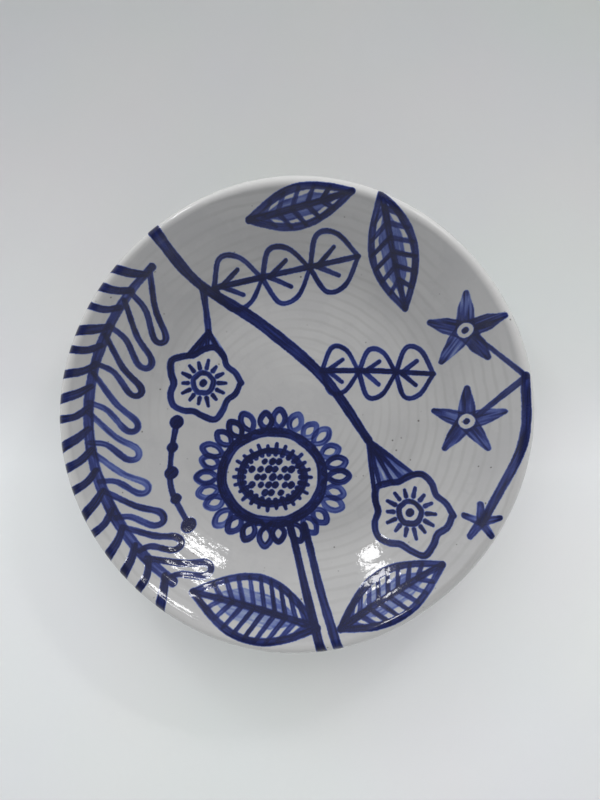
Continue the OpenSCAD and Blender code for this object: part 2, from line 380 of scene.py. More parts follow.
def throwing_rings(mark, turn):
    spiral = mark / MM + 2.5 * turn
    broad = smooth_noise(spiral / 5.5, turn * 9, 3, 9) * 0.11
    narrow = smooth_noise(spiral / 2.3, turn * 14, 4, 14) * 0.05
    lumps = smooth_noise(mark / (22 * MM), turn * 11, 5, 11) * 0.16
    fade = np.clip(mark / (6 * MM), 0, 1)
    return (broad + narrow + lumps) * fade * MM


relief = throwing_rings(marks[:, None], turns[None, :])


def by_hand(radius, height, turn):
    a = turn * 2 * math.pi
    lift = np.clip((radius - foot_outer) / (plate_r - foot_outer), 0, 1) ** 2
    radius = radius + lift * MM * (1.15 * np.cos(2 * a - 2.05) + 0.65 * np.cos(4 * a))
    height = height + lift * MM * (0.5 * np.cos(2 * a + 0.8) + 0.35 * np.cos(3 * a - 0.5))
    return np.stack([radius * np.cos(a), radius * np.sin(a), height], -1)


print(f"throwing rings up to {1000 * relief.max():.2f} mm high")

# %% [markdown]
# ## Turning a section into a closed mesh
# A lathe helper takes rings of points that begin and end on the axis and closes them with a point at
# each end. A section that doesn't touch the axis closes on itself, like a tyre.

# %% Lathe helper
def make_object(name, points, faces, material, smooth=True):
    mesh = bpy.data.meshes.new(name)
    mesh.from_pydata(points, [], faces)
    mesh.validate()
    mesh.polygons.foreach_set("use_smooth", [smooth] * len(mesh.polygons))
    mesh.materials.append(material)
    made = bpy.data.objects.new(name, mesh)
    bpy.context.scene.collection.objects.link(made)
    return made


def lathe(name, grid, material, on_axis=True):
    rings, segments = grid.shape[:2]
    index = np.arange(rings * segments).reshape(rings, segments)
    ahead = np.roll(index, -1, axis=1)
    below, above = (index[:-1], index[1:]) if on_axis else (index, np.roll(index, -1, axis=0))
    ahead_below, ahead_above = (ahead[:-1], ahead[1:]) if on_axis else (ahead, np.roll(ahead, -1, axis=0))
    quads = np.stack([below, above, ahead_above, ahead_below], -1).reshape(-1, 4).tolist()
    points = grid.reshape(-1, 3).tolist()
    if on_axis:
        points += [[0, 0, grid[0, :, 2].mean()], [0, 0, grid[-1, :, 2].mean()]]
        first, last = len(points) - 2, len(points) - 1
        quads += [[index[0, i], ahead[0, i], first] for i in range(segments)]
        quads += [[ahead[-1, i], index[-1, i], last] for i in range(segments)]
    return make_object(name, points, quads, material)


def turned_grid(line, raised=None, normals=None):
    radius = np.repeat(line[:, :1], SEGMENTS, axis=1)
    height = np.repeat(line[:, 1:], SEGMENTS, axis=1)
    if raised is not None:
        radius = radius + normals[:, :1] * raised
        height = height + normals[:, 1:] * raised
    return by_hand(np.maximum(radius, 0), height, turns[None, :])


# %% [markdown]
# ## White glaze
# An opaque tin-white glaze is nearly grey in soft light, glossy, and never quite even. It has faint
# clouds where the coat is thicker, grey lines painted in as the shade of the throwing rings, a paler,
# warmer band on the lip (the paleness is painted light where the round of the lip catches more light,
# the warmth is the glaze running thin there), tiny dark pinholes where gas escaped, and fine
# orange-peel in the shine. The gloss is a clear coat on a duller body.

# %% Glaze finish
LIP_LIT_TONE = (0.68, 0.675, 0.665, 1)
PINHOLE_TONE = (0.09, 0.08, 0.075, 1)
RING_SHADE_TONE = (0.36, 0.355, 0.345, 1)


# Painted shade: grey concentric lines, in patches, standing for the shade in the throwing rings.
def ring_shade(tree, place):
    rings = node(tree, "ShaderNodeTexWave", {
        "Vector": place, "Scale": 62.0, "Distortion": 3.2, "Detail": 3.0, "Detail Scale": 0.5},
        wave_type="RINGS", rings_direction="Z")
    shade_patches = node(tree, "ShaderNodeTexNoise", {"Vector": place, "Scale": 16.0, "Detail": 2.0})
    groove = node(tree, "ShaderNodeMapRange", {
        "Value": rings.outputs["Fac"], "From Min": 0.62, "From Max": 0.98, "To Max": 0.30})
    patch = node(tree, "ShaderNodeMapRange", {
        "Value": shade_patches.outputs["Fac"], "From Min": 0.42, "From Max": 0.62})
    shade = node(tree, "ShaderNodeMath", {0: groove.outputs[0], 1: patch.outputs[0]}, operation="MULTIPLY")
    return shade.outputs[0]


# Painted light: a paler band round the lip, where its round catches more light.
def lip_painted_light(tree, place):
    flat = node(tree, "ShaderNodeVectorMath", {0: place, 1: (1, 1, 0)}, operation="MULTIPLY")
    radius = node(tree, "ShaderNodeVectorMath", {0: flat.outputs[0]}, operation="LENGTH")
    band = node(tree, "ShaderNodeMapRange", {
        "Value": radius.outputs["Value"], "From Min": 0.955 * plate_r,
        "From Max": 0.985 * plate_r, "To Max": 0.8})
    return band.outputs[0]


def glaze_tone(tree, place):
    clouds = node(tree, "ShaderNodeTexNoise", {
        "Vector": place, "Scale": 34.0, "Detail": 5.0, "Roughness": 0.6})
    tone = colour_ramp(tree, clouds.outputs["Fac"], [
        (0.35, (0.460, 0.456, 0.458)), (0.68, (0.512, 0.508, 0.503))])
    holes = node(tree, "ShaderNodeTexVoronoi", {"Vector": place, "Scale": 190.0})
    chosen = node(tree, "ShaderNodeTexNoise", {"Vector": place, "Scale": 120.0, "Detail": 1.0})
    hole = node(tree, "ShaderNodeMapRange", {
        "Value": holes.outputs["Distance"], "From Min": 0.07, "From Max": 0.14, "To Min": 1.0, "To Max": 0.0})
    rare = node(tree, "ShaderNodeMapRange", {
        "Value": chosen.outputs["Fac"], "From Min": 0.60, "From Max": 0.65, "To Min": 0.0, "To Max": 0.8})
    speck = node(tree, "ShaderNodeMath", {0: hole.outputs[0], 1: rare.outputs[0]}, operation="MULTIPLY")
    # Painted shade of the throwing rings, mixed into the glaze colour.
    ringed = node(tree, "ShaderNodeMix", {
        0: ring_shade(tree, place), 6: tone, 7: RING_SHADE_TONE}, data_type="RGBA")
    # Painted light: the lip is made paler where it catches more light.
    lit_lip = node(tree, "ShaderNodeMix", {
        0: lip_painted_light(tree, place), 6: ringed.outputs[2], 7: LIP_LIT_TONE}, data_type="RGBA")
    specked = node(tree, "ShaderNodeMix", {
        0: speck.outputs[0], 6: lit_lip.outputs[2], 7: PINHOLE_TONE}, data_type="RGBA")
    return specked.outputs[2], clouds.outputs["Fac"]


def glossy(tree, shader, place, clouds):
    peel = node(tree, "ShaderNodeTexNoise", {"Vector": place, "Scale": 260.0, "Detail": 3.0})
    bump = node(tree, "ShaderNodeBump", {"Height": peel.outputs["Fac"], "Strength": 0.2, "Distance": 0.0004})
    tree.links.new(bump.outputs[0], shader.inputs["Normal"])
    tree.links.new(bump.outputs[0], shader.inputs["Coat Normal"])
    dull = node(tree, "ShaderNodeMapRange", {
        "Value": clouds, "From Min": 0.3, "From Max": 0.7, "To Min": 0.22, "To Max": 0.34})
    tree.links.new(dull.outputs[0], shader.inputs["Roughness"])
    shader.inputs["Specular IOR Level"].default_value = 0.15
    shader.inputs["Coat Weight"].default_value = 0.9
    shader.inputs["Coat Roughness"].default_value = 0.06


def glaze_material():
    material, tree, shader = new_material("white_glaze")
    place = object_place(tree)
    tone, clouds = glaze_tone(tree, place)
    tree.links.new(tone, shader.inputs["Base Color"])
    glossy(tree, shader, place, clouds)
    return material


white_glaze = glaze_material()

# %% [markdown]
# ## The glazed body
# The glaze is one closed skin: the outer side carries the relief, and the inner side lies on the
# clay. The clay under it is a second closed piece, hidden, but there if the plate is ever cut open.

# %% Glaze skin and clay
def clay_material():
    material, tree, shader = new_material("bare_clay")
    place = object_place(tree)
    grog = node(tree, "ShaderNodeTexNoise", {
        "Vector": place, "Scale": 420.0, "Detail": 6.0, "Roughness": 0.7})
    tone = colour_ramp(tree, grog.outputs["Fac"], [(0.3, (0.40, 0.27, 0.18)), (0.7, (0.60, 0.45, 0.33))])
    tree.links.new(tone, shader.inputs["Base Color"])
    bump = node(tree, "ShaderNodeBump", {"Height": grog.outputs["Fac"], "Strength": 0.5, "Distance": 0.0006})
    tree.links.new(bump.outputs[0], shader.inputs["Normal"])
    shader.inputs["Roughness"].default_value = 0.85
    return material


bare_clay = clay_material()
clay_line = ring_line - ring_normals * glaze_t
clay_line[:, 0] = np.maximum(clay_line[:, 0], 0)
coarse = np.unique(np.concatenate([np.arange(1, len(marks), 8), [len(marks) - 1]]))
glaze_grid = turned_grid(ring_line, relief, ring_normals)
inner_grid = turned_grid(clay_line[coarse][::-1])


def finished(piece, slot, *nodes):
    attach(piece, "root")
    if nodes:
        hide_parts(*nodes)
    return piece


glaze_skin = lathe("glaze_skin", np.concatenate([glaze_grid[1:], inner_grid]), white_glaze)
finished(glaze_skin, "glaze", "glaze_inside", "glaze_outside")
underside = np.column_stack([np.linspace(foot_outer, MM, 12), np.full(12, foot_top)])
clay_grid = np.concatenate([turned_grid(clay_line[coarse]), turned_grid(underside[1:])])
clay_piece = lathe("thrown_clay", clay_grid, bare_clay)
finished(clay_piece, "clay", "clay_body")
print(f"glaze skin has {len(glaze_skin.data.polygons)} faces")

# %% [markdown]
# ## The foot
# The foot ring is turned by a trimming tool when the clay is leather hard, so it has crisp corners
# and fine grooves, and it is wiped clean of glaze because glaze would stick it to the kiln shelf.
# Inside it the floor is glazed, with the roll of glaze that gathers in the corner.

# %% Foot ring and the glaze inside it
def foot_grid():
    corner = 1.0 * MM
    rest_in, rest_out = foot_inner + 1.5 * corner, foot_outer - 1.5 * corner
    outline = np.array([
        (foot_inner, foot_top), (foot_inner + corner / 2, corner),
        (rest_in - corner / 3, corner / 4), (rest_in, 0),
        (rest_out, 0), (rest_out + corner / 3, corner / 4),
        (foot_outer - corner / 2, corner), (foot_outer, foot_top)])
    along = walked(outline)
    section = resampled(outline, np.linspace(0, along[-1], 56))
    grooves = 0.05 * MM * np.sin(np.linspace(0, 26 * math.pi, 56)) * np.sin(np.linspace(0, math.pi, 56))
    section[:, 1] = np.maximum(section[:, 1] + np.abs(grooves), 0)
    return turned_grid(section)


finished(lathe("turned_foot_ring", foot_grid(), bare_clay, on_axis=False), "clay", "foot_ring")


def under_glaze_grid():
    radii = np.linspace(MM, foot_inner, 40)
    gather = np.exp(-((foot_inner - radii) / (0.8 * MM)) ** 2) * 0.6 * MM
    ripple = 0.05 * MM * np.sin(radii / (2.6 * MM))
    lower = np.column_stack([radii, under_low.z - gather - ripple])
    upper = np.column_stack([radii[::-1], np.full(40, under_high.z)])
    return turned_grid(np.concatenate([lower, upper]))


under = lathe("under_foot_glaze", under_glaze_grid(), white_glaze)
finished(under, "glaze", "glaze_under_foot")
print(f"foot ring {2000 * foot_outer:.0f} mm across, {1000 * foot_top:.1f} mm high")

# %% [markdown]
# ## A flat canvas that wraps the plate
# The painting is planned flat, in millimetres, with the plate's middle at nought and its top up.
# Up to the crest of the lip a point keeps its distance from the middle. Past the crest the distance is
# measured over the round of the lip, so a stroke that runs off the edge turns down the outside.

# %% From the flat canvas to the glaze
LAYOUT_D = 250
layout = 2 * plate_r / LAYOUT_D
crest = int(np.argmax(ring_line[:, 1]))


def sample_grid(grid, row, column):
    r, c = np.minimum(row.astype(int), len(grid) - 2), column.astype(int) % SEGMENTS
    u, v = (row - r)[:, None], (column - np.floor(column))[:, None]
    beside = (c + 1) % SEGMENTS
    inner = grid[r, c] * (1 - v) + grid[r, beside] * v
    outer = grid[r + 1, c] * (1 - v) + grid[r + 1, beside] * v
    return inner * (1 - u) + outer * u


def on_glaze(x, y, lift):
    reach = np.hypot(x, y) * layout
    angle = np.arctan2(y, x)
    mark = np.interp(reach, ring_line[:crest + 1, 0], marks[:crest + 1])
    mark = np.where(reach > ring_line[crest, 0], marks[crest] + reach - ring_line[crest, 0], mark)
    row = np.interp(mark, marks, np.arange(len(marks)))
    place = sample_grid(glaze_grid, row, angle / (2 * math.pi) % 1 * SEGMENTS)
    out = np.interp(row, np.arange(len(marks)), ring_normals[:, 0])
    up = np.interp(row, np.arange(len(marks)), ring_normals[:, 1])
    normal = np.column_stack([out * np.cos(angle), out * np.sin(angle), up])
    return place + normal * lift[:, None]


# %% [markdown]
# ## One brush stroke
# A stroke is a few points, the widths of the brush along them, and how much pigment it carries.
# It is smoothed into a curve, then laid on a fine flat grid: each cell learns how far it is from the
# stroke's edge, how far along the stroke it is and how far across. Pigment is then soft at the edge,
# a little darker just inside it, darker where the brush lands and lifts, and streaked along its way.

# %% Brush strokes on a grid
PITCH = 0.42
REACH = 134
canvas_x = np.arange(-REACH, REACH, PITCH)
canvas_size = (len(canvas_x), len(canvas_x))
pigment = np.zeros(canvas_size)
sweep = np.zeros((*canvas_size, 3))
strongest = np.zeros(canvas_size)
FAR = 9.0
SOFT = 0.32


def through(points, step=0.7):
    p = np.array(points, float)
    p = np.vstack([2 * p[0] - p[1], p, 2 * p[-1] - p[-2]])
    curve = []
    for a, b, c, d in zip(p[:-3], p[1:-2], p[2:-1], p[3:]):
        t = np.arange(0, 1, step / max(np.hypot(*(c - b)), step))[:, None]
        square = (2 * a - 5 * b + 4 * c - d) * t ** 2
        cube = (3 * b - a - 3 * c + d) * t ** 3
        curve.append((2 * b + (c - a) * t + square + cube) / 2)
    return np.vstack([*curve, p[-2:-1]])


def stroke(width, *points, load=0.8, dry=0.25):
    return width if isinstance(width, tuple) else (width,), points, load, dry


def lay_stroke(gap, widths, points, load, dry, seed):
    curve = through(points)
    along = walked(curve)
    share = along / along[-1]
    half = np.interp(share, np.linspace(0, 1, len(widths)), widths) / 2
    half = half * (1 + 0.09 * smooth_noise(along / 4.5, np.full(len(along), 0.5), seed))
    low = ((curve.min(0) - half.max() - 2 + REACH) / PITCH).astype(int).clip(0)
    high = ((curve.max(0) + half.max() + 2 + REACH) / PITCH).astype(int)
    window = (slice(low[1], high[1]), slice(low[0], high[0]))
    px, py = np.meshgrid(canvas_x[window[1]], canvas_x[window[0]])
    edge, run, side = np.full(px.shape, FAR), np.zeros(px.shape), np.zeros(px.shape)
    for i in range(len(curve) - 1):
        a, b = curve[i], curve[i + 1]
        near = half[i] + 1.2
        x0, y0 = (((np.minimum(a, b) - near) + REACH) / PITCH).astype(int) - (low[0], low[1])
        x1, y1 = (((np.maximum(a, b) + near) + REACH) / PITCH).astype(int) + 2 - (low[0], low[1])
        part = (slice(max(y0, 0), y1), slice(max(x0, 0), x1))
        dx, dy = px[part] - a[0], py[part] - a[1]
        step = b - a
        size = step @ step + 1e-9
        t = np.clip((dx * step[0] + dy * step[1]) / size, 0, 1)
        distance = np.hypot(dx - t * step[0], dy - t * step[1]) - (half[i] + t * (half[i + 1] - half[i]))
        closer = distance < edge[part]
        edge[part] = np.where(closer, distance, edge[part])
        run[part] = np.where(closer, along[i] + t * math.sqrt(size), run[part])
        across = (dx * step[1] - dy * step[0]) / math.sqrt(size)
        side[part] = np.where(closer, across, side[part])
    edge = edge + 0.10 * smooth_noise(px / 0.9 + 300, py / 0.9 + 300, seed + 1)
    inside = np.clip(0.5 - edge / (2 * SOFT), 0, 1)
    inside = inside * inside * (3 - 2 * inside)
    pooled = 0.10 * np.exp(-((edge + 0.5) / 0.35) ** 2)
    ends = np.exp(-(run / 1.6) ** 2) + np.exp(-((along[-1] - run) / 1.6) ** 2)
    streak = smooth_noise(run / 7, side * 1.3 + 40, seed + 2)
    blotch = smooth_noise(run / 11, side * 0.2 + 80, seed + 3)
    dose = load + pooled + 0.10 * ends + dry * (0.6 * streak + 0.5 * blotch)
    dose = inside * np.clip(dose, 0.08, 1)
    if load == 0:
        pigment[window] *= 1 - inside
        gap[window] = np.maximum(gap[window], -edge)
        return
    wins = dose > strongest[window]
    strongest[window] = np.where(wins, dose, strongest[window])
    path = np.stack([run, side, np.full(run.shape, seed * 3.7)], -1)
    sweep[window] = np.where(wins[..., None], path, sweep[window])
    pigment[window] = 1 - (1 - pigment[window]) * (1 - dose)
    gap[window] = np.minimum(gap[window], edge)


def painted(strokes, seed):
    gap = np.full(canvas_size, FAR)
    for i, (widths, points, load, dry) in enumerate(strokes):
        lay_stroke(gap, widths, points, load, dry, seed * 1000 + i * 4)
    return gap


# %% [markdown]
# ## Strokes that repeat
# The brushwork is ordinary folk-pottery planting: a fern, sprigs, leaves, stars and round flowers.
# One function draws each kind from a place, a size and a heading. A small fixed wobble and a
# changing load of paint keep the repeats from looking stamped.

# %% Helpers for repeated strokes
def wobble(i, size):
    return size * math.sin(math.radians(137 * i + 40))


def oval_point(c, rx, ry, degrees):
    a = math.radians(degrees)
    return c[0] + rx * math.cos(a), c[1] + ry * math.sin(a)


def rim_point(radius, degrees):
    return oval_point((0, 0), radius, radius, degrees)


def oval(c, rx, ry, n=14):
    made = []
    for i in range(n + 1):
        made.append(oval_point(c, rx + wobble(i, 0.25), ry + wobble(i + 5, 0.25), 80 + 372 * i / n))
    return made


def dab(c, width, load=0.9):
    return stroke(width, (c[0] - 0.3, c[1] - 0.3), (c[0] + 0.3, c[1] + 0.3), load=load)


def beside(a, b, share, off=0.0):
    along = Vector((b[0] - a[0], b[1] - a[1]))
    side = along.normalized()
    return a[0] + along.x * share - side.y * off, a[1] + along.y * share + side.x * off


def fine(*points, load=0.8, width=2.6):
    return stroke((width * 1.05, width, width * 0.85), *points, load=load)


def bold(*points, load=0.86, width=3.5):
    return stroke((width * 0.9, width * 1.05, width, width * 0.9), *points, load=load)


def loop(root, tip, back, spread, load):
    base = ((root[0] + back[0]) / 2, (root[1] + back[1]) / 2)
    length = math.dist(base, tip)
    shoulder = 1 - 1.1 * spread / length
    outline = [root, beside(base, tip, shoulder / 2, spread * 0.8), beside(base, tip, shoulder, spread), tip,
               beside(base, tip, shoulder, -spread), beside(base, tip, shoulder / 2, -spread * 0.8), back]
    return stroke((2.6, 3.0, 3.4, 3.0, 2.8), *outline, load=load, dry=0.35)


def ticks(c, rx, ry, n, last, start, reach, width=2.2):
    made = []
    for i in range(n):
        a = last * i / (n - 1)
        longer = reach + wobble(i, 0.8)
        tip = oval_point(c, rx + longer, ry + longer, a)
        made.append(stroke((width, width * 0.7), oval_point(c, rx + start, ry + start, a), tip))
    return made


# %% [markdown]
# ## The fern on the left
# A stem follows an arc of the rim. Even loops hang inside it, each a little shorter than the last,
# and heavily loaded dashes run off it over the lip.

# %% Fern
MOTIFS = {}
FERN_RADIUS = 111
FERN_FROM = 134
FERN_TO = 234
FROND_COUNT = 9
FROND_LENGTH = 26
FROND_TAPER = 1.5
DASH_COUNT = 17
FROND_STEP = (FERN_TO - FERN_FROM) / FROND_COUNT


def frond(i):
    a = FERN_FROM + FROND_STEP * (i + 0.1)
    tip = rim_point(FERN_RADIUS - FROND_LENGTH + FROND_TAPER * i, a + FROND_STEP * (1.5 + wobble(i, 0.08)))
    back = rim_point(FERN_RADIUS, a + FROND_STEP * 0.75)
    return loop(rim_point(FERN_RADIUS, a), tip, back, 3.4 + wobble(i + 2, 0.3), 0.72 + wobble(i * 3, 0.16))


def dash(i):
    a = FERN_FROM + 3 + (FERN_TO - FERN_FROM - 6) * i / (DASH_COUNT - 1)
    width = 4.6 + wobble(i, 0.6)
    bend = rim_point(117, a + 2.5)
    end = rim_point(127, a + 4 + wobble(i, 0.8))
    widths = (3.0, width * 0.85, width, width)
    return stroke(widths, rim_point(FERN_RADIUS, a), bend, end, load=0.92, dry=0.15)


stem_line = [rim_point(FERN_RADIUS, FERN_FROM + (FERN_TO - FERN_FROM) * i / 11) for i in range(12)]
MOTIFS["fern_stem"] = [stroke((3.6, 4.6, 4.4, 5.2, 4.4), *stem_line, load=0.74, dry=0.35)]
MOTIFS["fern_fronds"] = [frond(i) for i in range(FROND_COUNT)]
MOTIFS["rim_dashes"] = [dash(i) for i in range(DASH_COUNT)]
print(f"fern of {FROND_COUNT} fronds and {DASH_COUNT} dashes, {FROND_STEP:.1f} degrees apart")

# %% [markdown]
# ## The branch and its sprigs
# One heavy sweep crosses the plate. A sprig is a midrib with pairs of round leaves, each one
# outline and one vein.

# %% Branch and sprigs
BRANCH = [(-75, 98), (-55, 73), (-20, 50), (15, 20), (40, -15)]
MOTIFS["main_branch"] = [stroke((6.8, 5.0, 6.4, 6.6, 5.6, 4.5), *BRANCH, load=0.9)]


def sprig(a, b, pairs, size):
    made = [fine(a, beside(a, b, 0.5, 0.8), b, load=0.92, width=3.0)]
    for side in (-1, 1):
        for k in range(pairs):
            reach = side * (size + wobble(k + side, 1.0))
            outline = [beside(a, b, k / pairs), beside(a, b, (k + 0.25) / pairs, reach),
                       beside(a, b, (k + 0.65) / pairs, reach * 0.9), beside(a, b, (k + 1) / pairs)]
            made.append(fine(*outline))
            made.append(fine(beside(a, b, (k + 0.15) / pairs), beside(a, b, (k + 0.55) / pairs, reach * 0.5)))
    return made


MOTIFS["upper_sprig"] = sprig((-46, 70), (34, 86), 3, 14)
MOTIFS["lower_sprig"] = sprig((14, 24), (76, 22), 3, 13)
print(f"a sprig is {len(MOTIFS['lower_sprig'])} strokes")

# %% [markdown]
# ## Two flowers seen from the side
# A flower is an even five-lobed head round an eye with a dot in it. Lines fan down to it from the
# end of its stalk, over a thin wash.

# %% Side flowers
LOBES = 5
HEAD_STEP = 18
LOBE_DEPTH = 0.12
HANGING_EYE = (-53, 17)
HANGING_TOP = (-50, 46)
TRUMPET_EYE = (63, -55)


def lobed(c, radius, degrees):
    reach = radius * (1 + LOBE_DEPTH * math.cos(math.radians(LOBES * degrees)))
    return oval_point(c, reach, reach, degrees)


def flower(top, eye, radius):
    up = math.degrees(math.atan2(top[1] - eye[1], top[0] - eye[0]))
    inner = radius * 0.3
    made = []
    for turn in (-27, -9, 9, 27):
        made.append(stroke((2, 4, 4), top, lobed(eye, radius, up + turn), load=0.32, dry=0.3))
    made += [fine(top, lobed(eye, radius, up + HEAD_STEP * k)) for k in range(-2, 3)]
    made.append(bold(*[lobed(eye, radius + wobble(i, 0.3), HEAD_STEP * i) for i in range(21)]))
    made.append(bold(*oval(eye, inner, inner), width=3.0))
    made += ticks(eye, inner, inner, 14, 334, 3, radius * 0.35, 2.6)
    made.append(dab(eye, 4.0))
    return made


stalk = stroke((4.0, 3.2, 3.8), (-52, 70), HANGING_TOP, load=0.85)
MOTIFS["hanging_flower"] = [stalk, *flower(HANGING_TOP, HANGING_EYE, 19)]
MOTIFS["trumpet_flower"] = flower(BRANCH[-1], TRUMPET_EYE, 20)
print(f"a side flower is {len(MOTIFS['trumpet_flower'])} strokes")

# %% [markdown]
# ## The sunflower
# A thick oval ring, a smaller ring with ticks inside it, seeds in rough rows, and petals that are
# loops from the ring out and back, some from a full brush and some from a nearly empty one.

# %% Sunflower
SUN = (-14, -36)
SUN_RX = 28.5
SUN_RY = 25.5
SEED_GAP = 4.4
SEED_FIELD = (13, 10)
PETAL_COUNT = 26


def seed_places():
    for row in range(-2, 3):
        for k in range(-3, 4):
            x = SEED_GAP * (k + math.fmod(row, 2) / 2) + wobble(k + row * 7, 0.6)
            y = SEED_GAP * row
            if math.hypot(x / SEED_FIELD[0], y / SEED_FIELD[1]) < 1:
                yield SUN[0] + x, SUN[1] + y


def petal(i):
    a = 360 * i / PETAL_COUNT
    half = 360 / PETAL_COUNT * 0.38
    tip = oval_point(SUN, SUN_RX + 14 + wobble(i, 1.2), SUN_RY + 12 + wobble(i, 1.2), a + wobble(i, 2))
    root = oval_point(SUN, SUN_RX + 0.5, SUN_RY + 0.5, a - half)
    back = oval_point(SUN, SUN_RX + 0.5, SUN_RY + 0.5, a + half)
    return loop(root, tip, back, 3.1, 0.7 + wobble(i * 5, 0.22))


ring = stroke((5.0, 5.6, 6.2, 5.6, 4.8), *oval(SUN, SUN_RX, SUN_RY, 20), load=0.84, dry=0.3)
inner_ring = stroke((3.2, 4.0, 4.4, 3.2), *oval(SUN, 18, 15, 18), load=0.88)
MOTIFS["sunflower_ring"] = [ring, inner_ring, *ticks(SUN, 18, 15, 26, 346, -2, 3.4, 2.8)]
MOTIFS["sunflower_seeds"] = [dab(p, 3.4 + wobble(i, 0.4), 0.82) for i, p in enumerate(seed_places())]
MOTIFS["sunflower_stem"] = [
    stroke((4.0, 4.2, 5.2), (-4, -63), (5, -95), (15, -126), load=0.9),
    stroke((4.0, 4.2, 5.0), (4, -63), (13, -95), (24, -125), load=0.9),
]
MOTIFS["sunflower_petals"] = [petal(i) for i in range(PETAL_COUNT)]
print(f"sunflower of {PETAL_COUNT} petals and {len(MOTIFS['sunflower_seeds'])} seeds")

# %% [markdown]
# ## Four leaves at the rim
# A leaf is a pointed outline, a midrib and even veins that slant toward the tip and end thin, over
# a thin wash.

# %% Leaves
BLADE_SPANS = 8


def leaf_width(half, share):
    return half * math.sin(math.pi * share)


def leaf(root, tip, half, vein_count, wash):
    wash_widths = (2, half * 1.1, half * 1.1, 2)
    made = [stroke(wash_widths, beside(root, tip, 0.15), beside(root, tip, 0.85), load=wash)]
    for side in (-1, 1):
        edge = [beside(root, tip, i / BLADE_SPANS, leaf_width(side * half, i / BLADE_SPANS))
                for i in range(BLADE_SPANS + 1)]
        made.append(bold(*edge, load=0.84 + wobble(side, 0.06)))
        for i in range(1, vein_count + 1):
            share = 0.85 * i / (vein_count + 1)
            end = beside(root, tip, share + 0.1, leaf_width(side * half, share + 0.1))
            load = 0.72 + wobble(i * 3 + side, 0.14)
            made.append(fine(beside(root, tip, share), end, load=load, width=2.4))
    made.append(fine(root, tip, load=0.88, width=3.2))
    return made


MOTIFS["lower_left_leaf"] = leaf((12, -113), (-55, -95), 14, 9, 0.26)
MOTIFS["lower_right_leaf"] = leaf((24, -113), (79, -80), 11, 8, 0.24)
MOTIFS["upper_left_leaf"] = leaf((-25, 104), (30, 116), 8.5, 5, 0.4)
MOTIFS["upper_right_leaf"] = leaf((45, 115), (60, 58), 11, 6, 0.36)
print(f"the largest leaf is {len(MOTIFS['lower_left_leaf'])} strokes")

# %% [markdown]
# ## Stars, vine and twig
# A star is five even tapered pulls of the brush from its middle, mottled where they overlap. Its
# eye is wiped bare in the wet paint, which a load of nought stands for, and dotted. The vine is one
# sweep up the rim with a stalk to each large star.

# %% Stars, vine and twig
STARS = [((91, 45), 19, 20, True), ((93, -4), 18, 18, True), ((99, -57), 9, 18, False)]
EYE_WIDTH = 7.6
VINE_TOP = (120, 20)
TWIG = [(-68, -5), (-71, -24), (-70, -43), (-60, -62)]


def star(centre, reach, turn, eyed):
    made = []
    for k in range(5):
        a = turn + 72 * k
        root = oval_point(centre, reach * 0.1, reach * 0.1, a)
        tip = oval_point(centre, reach + wobble(k, 0.8), reach + wobble(k, 0.8), a)
        made.append(stroke((reach * 0.5, reach * 0.42, 3.0), root, tip, load=0.68, dry=0.55))
    if eyed:
        made.append(dab(centre, EYE_WIDTH, load=0))
        made.append(dab(centre, 2.8))
    return made


MOTIFS["star_flowers"] = [pull for row in STARS for pull in star(*row)]
MOTIFS["star_vine"] = [
    stroke((3.8, 4.6, 4.8), (101, -55), (119, -15), VINE_TOP, load=0.88, dry=0.35),
    stroke((2.0, 2.6), (96, 42), VINE_TOP),
    stroke((2.6, 3.2), (98, -1), VINE_TOP, load=0.7),
]
MOTIFS["knobbed_twig"] = [stroke((3.2, 2.8, 3.0, 2.6), *TWIG)]
for knob in range(5):
    spot = knob / 4 * (len(TWIG) - 1)
    first = min(int(spot), len(TWIG) - 2)
    place = beside(TWIG[first], TWIG[first + 1], spot - first)
    MOTIFS["knobbed_twig"].append(dab(place, 7.0 if knob % 2 == 0 else 5.2))
MOTIFS["outside_touch"] = [stroke((1.4, 1.8, 1.2), rim_point(129, 31), rim_point(130, 27.5))]
print(f"{len(MOTIFS)} motifs, {sum(len(s) for s in MOTIFS.values())} strokes")

# %% [markdown]
# ## From pigment to a closed skin of paint
# Where the distance to a stroke's edge crosses a set value, the grid is cut, which gives a smooth
# outline. The part inside it becomes the top of a very thin closed skin, highest where the pigment is
# thickest. Each later motif stops where an earlier one already covers the glaze.

# %% Cutting the grid along the outline
CELL_FACES = {
    1: [(0, 4, 7)], 2: [(1, 5, 4)], 3: [(0, 1, 5, 7)], 4: [(2, 6, 5)], 5: [(0, 4, 7), (2, 6, 5)],
    6: [(1, 2, 6, 4)], 7: [(0, 1, 2, 6, 7)], 8: [(3, 7, 6)], 9: [(0, 4, 6, 3)], 10: [(1, 5, 4), (3, 7, 6)],
    11: [(0, 1, 5, 6, 3)], 12: [(2, 3, 7, 5)], 13: [(0, 4, 5, 2, 3)], 14: [(1, 2, 3, 7, 4)],
    15: [(0, 1, 2, 3)],
}


def cut_grid(field):
    rows, columns = field.shape
    count = rows * columns
    sign = field > 0
    case = sign[:-1, :-1] + 2 * sign[:-1, 1:] + 4 * sign[1:, 1:] + 8 * sign[1:, :-1]
    faces = []
    for kind, polygons in CELL_FACES.items():
        i, j = np.nonzero(case == kind)
        here = i * columns + j
        corner = [here, here + 1, here + columns + 1, here + columns,
                  count + here, 2 * count + here + 1, count + here + columns, 2 * count + here]
        for polygon in polygons:
            faces.append(np.stack([corner[k] for k in polygon], -1))
    used = np.unique(np.concatenate([f.ravel() for f in faces]))
    row, column = used % count // columns, used % columns
    flat = field.ravel()
    kind = used // count
    other = np.where(kind == 1, used % count + 1, np.where(kind == 2, used % count + columns, used % count))
    here, there = flat[used % count], flat[np.minimum(other, count - 1)]
    t = np.where(kind == 0, 0, here / np.where(here == there, 1, here - there))
    spot = np.column_stack([row + t * (kind == 2), column + t * (kind == 1)])
    faces = [np.searchsorted(used, f) for f in faces if len(f)]
    return spot, faces


